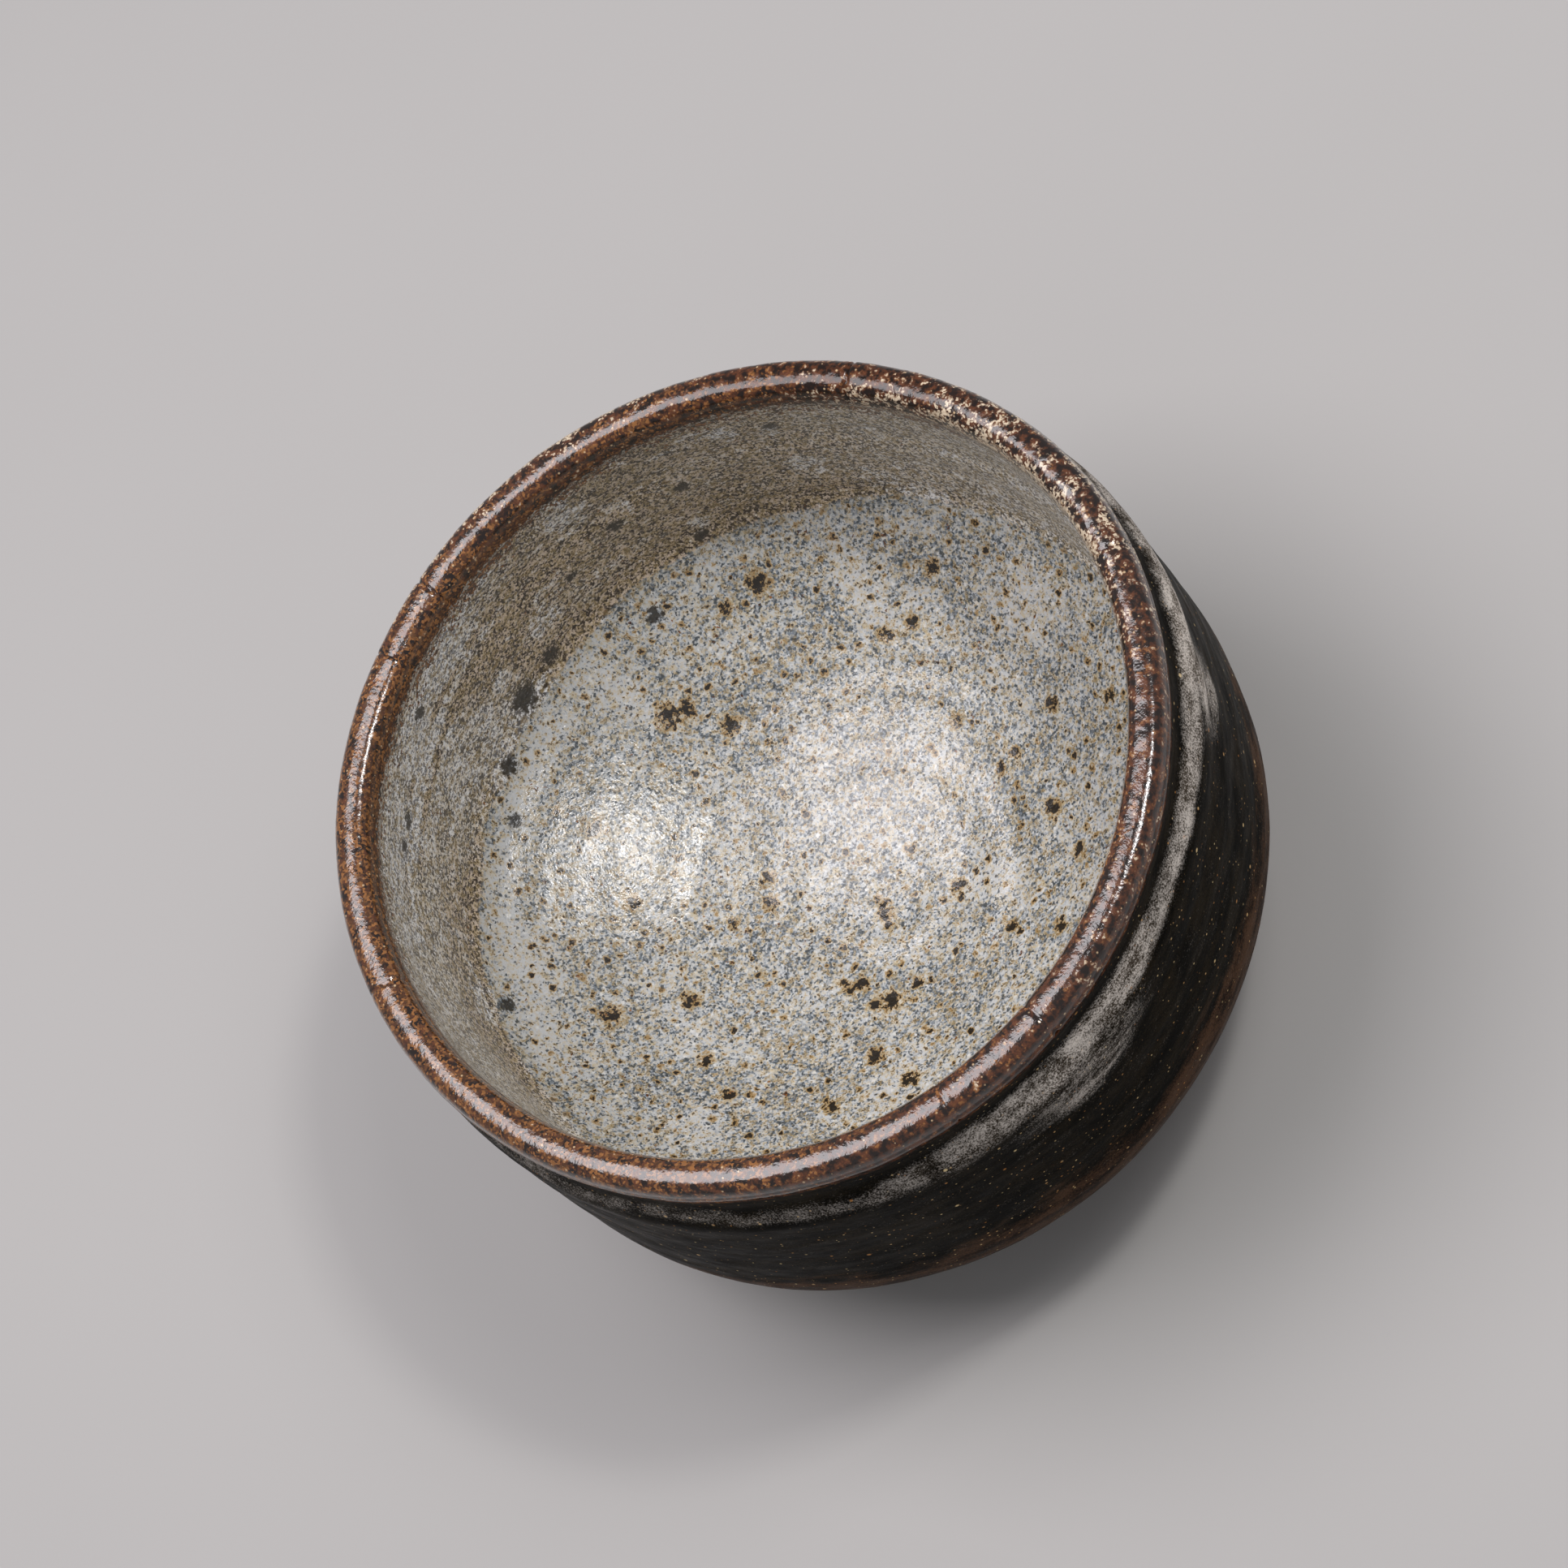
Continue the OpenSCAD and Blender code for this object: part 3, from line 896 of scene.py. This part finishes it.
def wall_colour(g, fine, mid, clump):
    """The thinner glaze on the inner wall: brown and grey grain drawn out round the bowl, with blue veils.
    Its brown is partly painted shade on the far wall.
    """
    streak = g.noise(5.0 * MM, 4, 0.62, g.streaked(4))
    grit = g.granules(0.24 * MM, g.ragged(0.3 * MM, 0.1 * MM))
    tone = g.add(0.5, shake(g, (fine, 1.3), (grit, 0.8), (mid, 0.9), (clump, 0.4), (streak, 0.45)))
    grey = g.mix(g.ramp(tone, 0.36, 0.66), *WALL_GREY)
    brown = g.mix(g.ramp(tone, 0.38, 0.68), *WALL_BROWN)
    blue = g.mix(g.ramp(tone, 0.33, 0.62), *WALL_BLUE)
    # The brown share, raised on the far wall, is partly painted shade there.
    thin = g.add(g.field("brown"), shake(g, (streak, 1.4), (clump, 1.1), (mid, 0.8)))
    colour = g.mix(g.ramp(thin, 0.20, 0.85), grey, brown)
    veil = g.add(g.field("blue"), shake(g, (clump, 1.5), (streak, 1.1), (mid, 0.9), (grit, 0.5)))
    colour = g.mix(g.ramp(veil, 0.25, 0.70), colour, blue)
    # Darker towards the foot of the wall, where it is brown, down to the floor's edge.
    darker_foot = g.times(g.ramp(g.height, 43 * MM, 38.5 * MM, 0.0, 0.55), g.ramp(g.field("brown"), 0.3, 0.9))
    colour = g.mix(g.times(darker_foot, g.ramp(tone, 0.75, 0.40)), colour, WALL_FOOT_DARK)
    pale = g.specks(1.3 * MM, 0.21 * MM, 0.5, 0.15, 0.6)
    return g.mix(g.times(pale, 0.9), colour, WALL_FLECK)


def liner_colour(g):
    """The inner glaze: pale where it pools on the floor, thin and streaked on the wall, with iron spots."""
    fine = g.granules(0.33 * MM, g.ragged(0.4 * MM, 0.12 * MM))
    mid = g.noise(0.62 * MM, 3, 0.7)
    clump = g.noise(1.9 * MM, 3, 0.62)
    ragged = g.add(g.field("wall"), shake(g, (fine, 0.5), (mid, 0.7), (clump, 0.5)))
    pool = floor_colour(g, fine, mid, clump)
    wall = wall_colour(g, fine, mid, clump)
    return iron_spotted(g, g.mix(g.ramp(ragged, 0.34, 0.66), pool, wall), fine, mid)


def iron_spotted(g, colour, fine, mid):
    """Adds iron spots: ochre halos round black hearts, the marked ones and many small ones."""
    rag = shake(g, (g.noise(0.85 * MM, 3, 0.7), 2.4), (mid, 0.8), (fine, 0.5))
    bent = g.ragged(0.9 * MM, 0.5 * MM)
    marked = g.add(g.field("iron"), rag)
    small = g.add(g.specks(2.1 * MM, 0.68 * MM, 0.8, 0.7, 0.75, bent), g.times(rag, 0.8))
    tiny = g.specks(1.2 * MM, 0.24 * MM, 0.4, 0.4, 0.5, bent)
    pooled = g.math("SUBTRACT", 1.0, g.times(g.field("wall"), 0.85))
    stain = g.most(g.ramp(marked, -0.15, 0.35), g.times(g.ramp(small, 0.10, 0.65), pooled))
    halo = g.most(g.ramp(marked, 0.20, 0.50), g.times(g.ramp(small, 0.40, 0.80), pooled))
    heart = g.most(g.ramp(marked, 0.44, 0.60), g.times(g.ramp(small, 0.70, 0.95), pooled))
    heart = g.most(heart, g.times(tiny, 0.75))
    colour = g.mix(g.times(stain, 0.6), colour, SPOT_STAIN)
    colour = g.mix(g.times(halo, 0.9), colour, SPOT_HALO)
    soot = g.add(g.field("soot"), g.times(rag, 0.9))
    colour = g.mix(g.ramp(soot, 0.20, 0.52, 0.0, 0.95), colour, SOOT)
    return g.mix(heart, colour, SPOT_HEART)


def edge_grains(g, patches):
    """Noise of several sizes by which one glaze breaks into the next, with larger patches times a share."""
    lumps = g.noise(0.8 * MM, 2, 0.6)
    return g.granules(0.40 * MM), lumps, (g.noise(4 * MM, 2, 0.6), patches)


def liner_material():
    """Inner glaze, which breaks up into the rim's iron glaze at its top."""
    g = Graph("Liner_Glaze")
    body = liner_colour(g)
    level = g.ramp(g.height, RIM_EDGE_IN - 5.5 * MM, RIM_EDGE_IN + 2.5 * MM)
    fine, lumps, patches = edge_grains(g, 1.4)
    fade = g.ramp(g.add(level, shake(g, (fine, 1.6), (lumps, 1.6), patches)), 0.56, 0.70)
    colour = g.mix(fade, body, iron_colour(g))
    normal = g.bump(g.noise(0.85 * MM, 2, 0.5), 0.06 * MM, g.bump(g.noise(0.36 * MM, 2, 0.6), 0.05 * MM))
    roughness = g.ramp(g.noise(1.5 * MM, 3, 0.6), 0.3, 0.7, 0.15, 0.28)
    return g.finish(colour, roughness, normal, IOR=1.62)


def rim_material():
    """Iron glaze, grey where the inner glaze creeps up it, and glassy on top of the lip."""
    g = Graph("Rim_Glaze")
    iron = iron_colour(g)
    level = g.ramp(g.height, RIM_EDGE_IN + 2.6 * MM, RIM_EDGE_IN - 0.8 * MM)
    fine, lumps, patches = edge_grains(g, 1.0)
    creep = g.ramp(g.add(level, shake(g, (fine, 1.6), (lumps, 1.4), patches)), 0.62, 0.85)
    low = g.times(creep, g.ramp(g.field("inside"), 0.6, 0.9))
    pale = g.mix(g.ramp(g.noise(0.3 * MM, 2, 0.7), 0.35, 0.65), *LIP_FOOT)
    colour = g.mix(low, iron, pale)
    flecks = g.specks(0.95 * MM, 0.17 * MM, 0.4, 0.1, 0.55)
    colour = g.mix(g.times(flecks, 0.8), colour, LIP_FLECK)
    pits = g.specks(2.0 * MM, 0.30 * MM, 0.5, 0.9, 0.35)
    colour = g.mix(pits, colour, LIP_PIT)
    swell = g.bump(g.noise(0.9 * MM, 2, 0.5), 0.06 * MM, g.bump(g.noise(0.3 * MM, 1, 0.5), 0.02 * MM))
    g.feed(g.shader.inputs["Coat Normal"], swell)
    glassy = g.times(g.ramp(g.height, RIM_EDGE_OUT, LIP_TOP - 1.2 * MM, 0.0, 0.95), g.field("gloss"))
    g.feed(g.shader.inputs["Coat Weight"], glassy)
    roughness = g.ramp(g.noise(1.2 * MM, 3, 0.6), 0.3, 0.7, 0.14, 0.30)
    return g.finish(colour, roughness, swell, IOR=1.55, Specular_IOR_Level=0.2,
                    Coat_Roughness=0.12, Coat_IOR=1.55)


# Low, so that the outer glaze stays near black beside a pale floor.
OUTER_SPECULAR = 0.015


def dark_colour(g):
    """The outer glaze: near-black olive and brown in lines round the bowl, tan low down, ochre flecks."""
    lines = g.noise(8.0 * MM, 4, 0.6, g.streaked(3))
    grain = g.noise(0.3 * MM, 2, 0.7)
    tone = g.add(0.5, shake(g, (lines, 0.8), (grain, 0.6)))
    colour = g.mix(g.ramp(tone, 0.40, 0.66), *OUTER)
    tan = g.mix(g.ramp(tone, 0.36, 0.66), *OUTER_TAN)
    low = g.add(g.field("low"), shake(g, (lines, 1.6)))
    colour = g.mix(g.ramp(low, 0.35, 1.0, 0.0, 0.85), colour, tan)
    small = g.specks(0.95 * MM, 0.15 * MM, 0.4, 0.3, 0.7)
    large = g.specks(2.6 * MM, 0.28 * MM, 0.4, 0.6, 0.6)
    flecks = g.most(g.times(small, g.ramp(lines, 0.35, 0.6, 0.25, 0.95)), large)
    hue = g.mix(g.ramp(g.noise(1.5 * MM, 1, 0.5), 0.35, 0.65), *OUTER_FLECKS)
    return g.mix(flecks, colour, hue)


def brushed_colour(g, under):
    """The band's grey-lilac silk over a darker glaze, as thick as the mesh says."""
    silk = g.noise(4.5 * MM, 4, 0.65, g.streaked(3))
    grain = g.noise(0.26 * MM, 2, 0.7)
    tone = g.add(0.5, shake(g, (silk, 0.7), (grain, 0.8)))
    pale = g.mix(g.ramp(tone, 0.36, 0.62), *SILK)
    thick = g.add(g.field("cover"), shake(g, (silk, 0.6), (grain, 0.9)))
    return g.mix(g.ramp(thick, 0.08, 0.95, 0.0, 0.95), under, pale)


def outer_swell(g):
    """Soft orange peel in the outer glaze and the band over it."""
    return g.bump(g.noise(1.3 * MM, 3, 0.5), 0.05 * MM, g.bump(g.noise(0.3 * MM, 1, 0.5), 0.012 * MM))


def outer_material():
    """Near-black outer glaze under the brushed band, which breaks up into the rim's iron glaze at its top."""
    g = Graph("Outer_Glaze")
    colour = brushed_colour(g, dark_colour(g))
    level = g.ramp(g.height, RIM_EDGE_OUT - 2.4 * MM, RIM_EDGE_OUT + 0.6 * MM)
    grains = shake(g, (g.noise(0.35 * MM, 2, 0.7), 1.4), (g.noise(3 * MM, 2, 0.6), 1.0))
    colour = g.mix(g.ramp(g.add(level, grains), 0.40, 0.65), colour, iron_colour(g))
    roughness = g.ramp(g.noise(5 * MM, 3, 0.6, g.streaked(3)), 0.3, 0.7, 0.32, 0.46)
    return g.finish(colour, roughness, outer_swell(g), IOR=1.5, Specular_IOR_Level=OUTER_SPECULAR)


def band_material():
    """Brushed band, as silky as the outer glaze that shows through it."""
    g = Graph("Band_Glaze")
    colour = brushed_colour(g, dark_colour(g))
    roughness = g.ramp(g.field("cover"), 0.0, 1.0, 0.40, 0.46)
    return g.finish(colour, roughness, outer_swell(g), IOR=1.5, Specular_IOR_Level=OUTER_SPECULAR)


def clay_material(name, clay, worn):
    """Bare stoneware: fine grog, iron specks and lines from the trimming tool, worn where it rests."""
    g = Graph(name)
    grain = g.noise(0.3 * MM, 3, 0.7)
    lines = g.noise(3 * MM, 3, 0.6, g.streaked(8))
    tone = g.add(g.times(grain, 0.5), g.times(lines, 0.5))
    colour = g.mix(g.ramp(tone, 0.36, 0.64), *clay)
    colour = g.mix(g.ramp(g.noise(9 * MM, 2, 0.5), 0.45, 0.70, 0.0, 0.4), colour, CLAY_RUST)
    colour = g.mix(g.specks(1.5 * MM, 0.2 * MM, 0.5, 0.5, 0.5), colour, CLAY_IRON)
    colour = g.mix(g.specks(1.9 * MM, 0.22 * MM, 0.5, 0.8, 0.4), colour, CLAY_GROG)
    rests = g.ramp(g.height, 0.9 * MM, 0.1 * MM, 0.0, 0.6)
    colour = g.mix(rests, colour, worn)
    rough = g.bump(g.noise(0.5 * MM, 4, 0.7), 0.12 * MM, g.bump(lines, 0.15 * MM))
    return g.finish(colour, g.ramp(grain, 0.3, 0.7, 0.72, 0.9), rough)


def floor_material():
    """Plain pale floor: a matt painted board with the faintest mottle."""
    g = Graph("Studio_Floor")
    colour = g.mix(g.noise(0.12, 3, 0.5), *BOARD)
    return g.finish(colour, 0.7, g.bump(g.noise(1.5 * MM, 2, 0.5), 0.02 * MM))


# ------------------------------------------------------------------ studio

# Camera: degrees above level, degrees of roll, distance from the middle of the lip's circle in metres,
# lens and sensor in millimetres, and how far beside and below that middle it aims.
CAMERA_HEIGHT_ANGLE = 59.84
CAMERA_ROLL = 47.65
CAMERA_DISTANCE = 0.649
CAMERA_LENS = 112.9
CAMERA_SENSOR = 36
AIM_RIGHT = 5.3 * MM
AIM_DOWN = 1.9 * MM

# Lights face a point inside the bowl. Each has a direction from it, a distance and a width in metres,
# watts and a colour.
LIT_POINT = Vector((0, 0, 0.05))
KEY_WAY = (0.432, -0.196, 0.885)
LIGHTS = [
    ("Overhead", (-0.202, 0.274, 0.94), 0.82, 0.50, 4.9, (1.0, 0.955, 0.985)),
    ("Key", KEY_WAY, 1.06, 0.36, 2.7, (1.0, 0.97, 0.98)),
    ("Key_Core", KEY_WAY, 1.05, 0.10, 2.4, (1.0, 0.98, 0.95)),
]
SKY_COLOUR = (0.93, 0.95, 1.0)
SKY_STRENGTH = 0.34
FLOOR_WIDTH = 6


def make_camera():
    """Above and in front of the bowl, and turned so that the bowl's axis leans to the upper left."""
    data = bpy.data.cameras.new("Camera")
    data.lens = CAMERA_LENS
    data.sensor_width = CAMERA_SENSOR
    data.clip_start = 10 * MM
    camera = bpy.data.objects.new("Camera", data)
    rise = math.radians(CAMERA_HEIGHT_ANGLE)
    roll = math.radians(CAMERA_ROLL)
    level = Vector((1, 0, 0))
    steep = Vector((0, math.sin(rise), math.cos(rise)))
    right = math.cos(roll) * level - math.sin(roll) * steep
    up = math.sin(roll) * level + math.cos(roll) * steep
    target = Vector((0, 0, LIP_MID_Z))
    place = target + CAMERA_DISTANCE * Vector((0, -math.cos(rise), math.sin(rise)))
    back = (place - (target + AIM_RIGHT * right - AIM_DOWN * up)).normalized()
    right = up.cross(back).normalized()
    up = back.cross(right)
    camera.matrix_world = Matrix.Translation(place) @ Matrix((right, up, back)).transposed().to_4x4()
    bpy.context.scene.collection.objects.link(camera)
    bpy.context.scene.camera = camera


def make_light(name, towards, distance, size, watts, colour):
    """A square soft light in a direction from the bowl, facing it."""
    data = bpy.data.lights.new(name, "AREA")
    data.shape = "SQUARE"
    data.size = size
    data.energy = watts
    data.color = colour
    light = bpy.data.objects.new(name, data)
    way = Vector(towards).normalized()
    light.location = LIT_POINT + distance * way
    light.rotation_euler = way.to_track_quat("Z", "Y").to_euler()
    bpy.context.scene.collection.objects.link(light)


def make_studio():
    """Pale floor, pale sky and three soft lights."""
    bpy.ops.mesh.primitive_grid_add(x_subdivisions=24, y_subdivisions=24, size=FLOOR_WIDTH)
    floor = bpy.context.object
    floor.name = "Studio_Floor"
    floor.data.materials.append(floor_material())
    world = bpy.data.worlds.new("Studio")
    world.use_nodes = True
    sky = world.node_tree.nodes["Background"]
    sky.inputs["Color"].default_value = (*SKY_COLOUR, 1)
    sky.inputs["Strength"].default_value = SKY_STRENGTH
    bpy.context.scene.world = world
    bpy.context.scene.view_settings.view_transform = "Standard"
    for light in LIGHTS:
        make_light(*light)


# ------------------------------------------------------------------ assembly


def dress(piece, node, material):
    """Gives a piece its material, hangs it from the root body, and hides the CAD node that it replaces."""
    piece.data.materials.append(material)
    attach(piece, "root")
    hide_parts(node)


make_camera()
make_studio()
dress(make_body(), "stoneware_body", clay_material("Stoneware_Clay", BODY_CLAY, BODY_WORN))
dress(make_foot(), "foot_ring", clay_material("Foot_Clay", FOOT_CLAY, FOOT_WORN))
dress(make_liner(), "liner_glaze", liner_material())
dress(make_rim(), "rim_glaze", rim_material())
dress(make_outer(), "outer_glaze", outer_material())
dress(make_band(), "brushed_glaze_band", band_material())
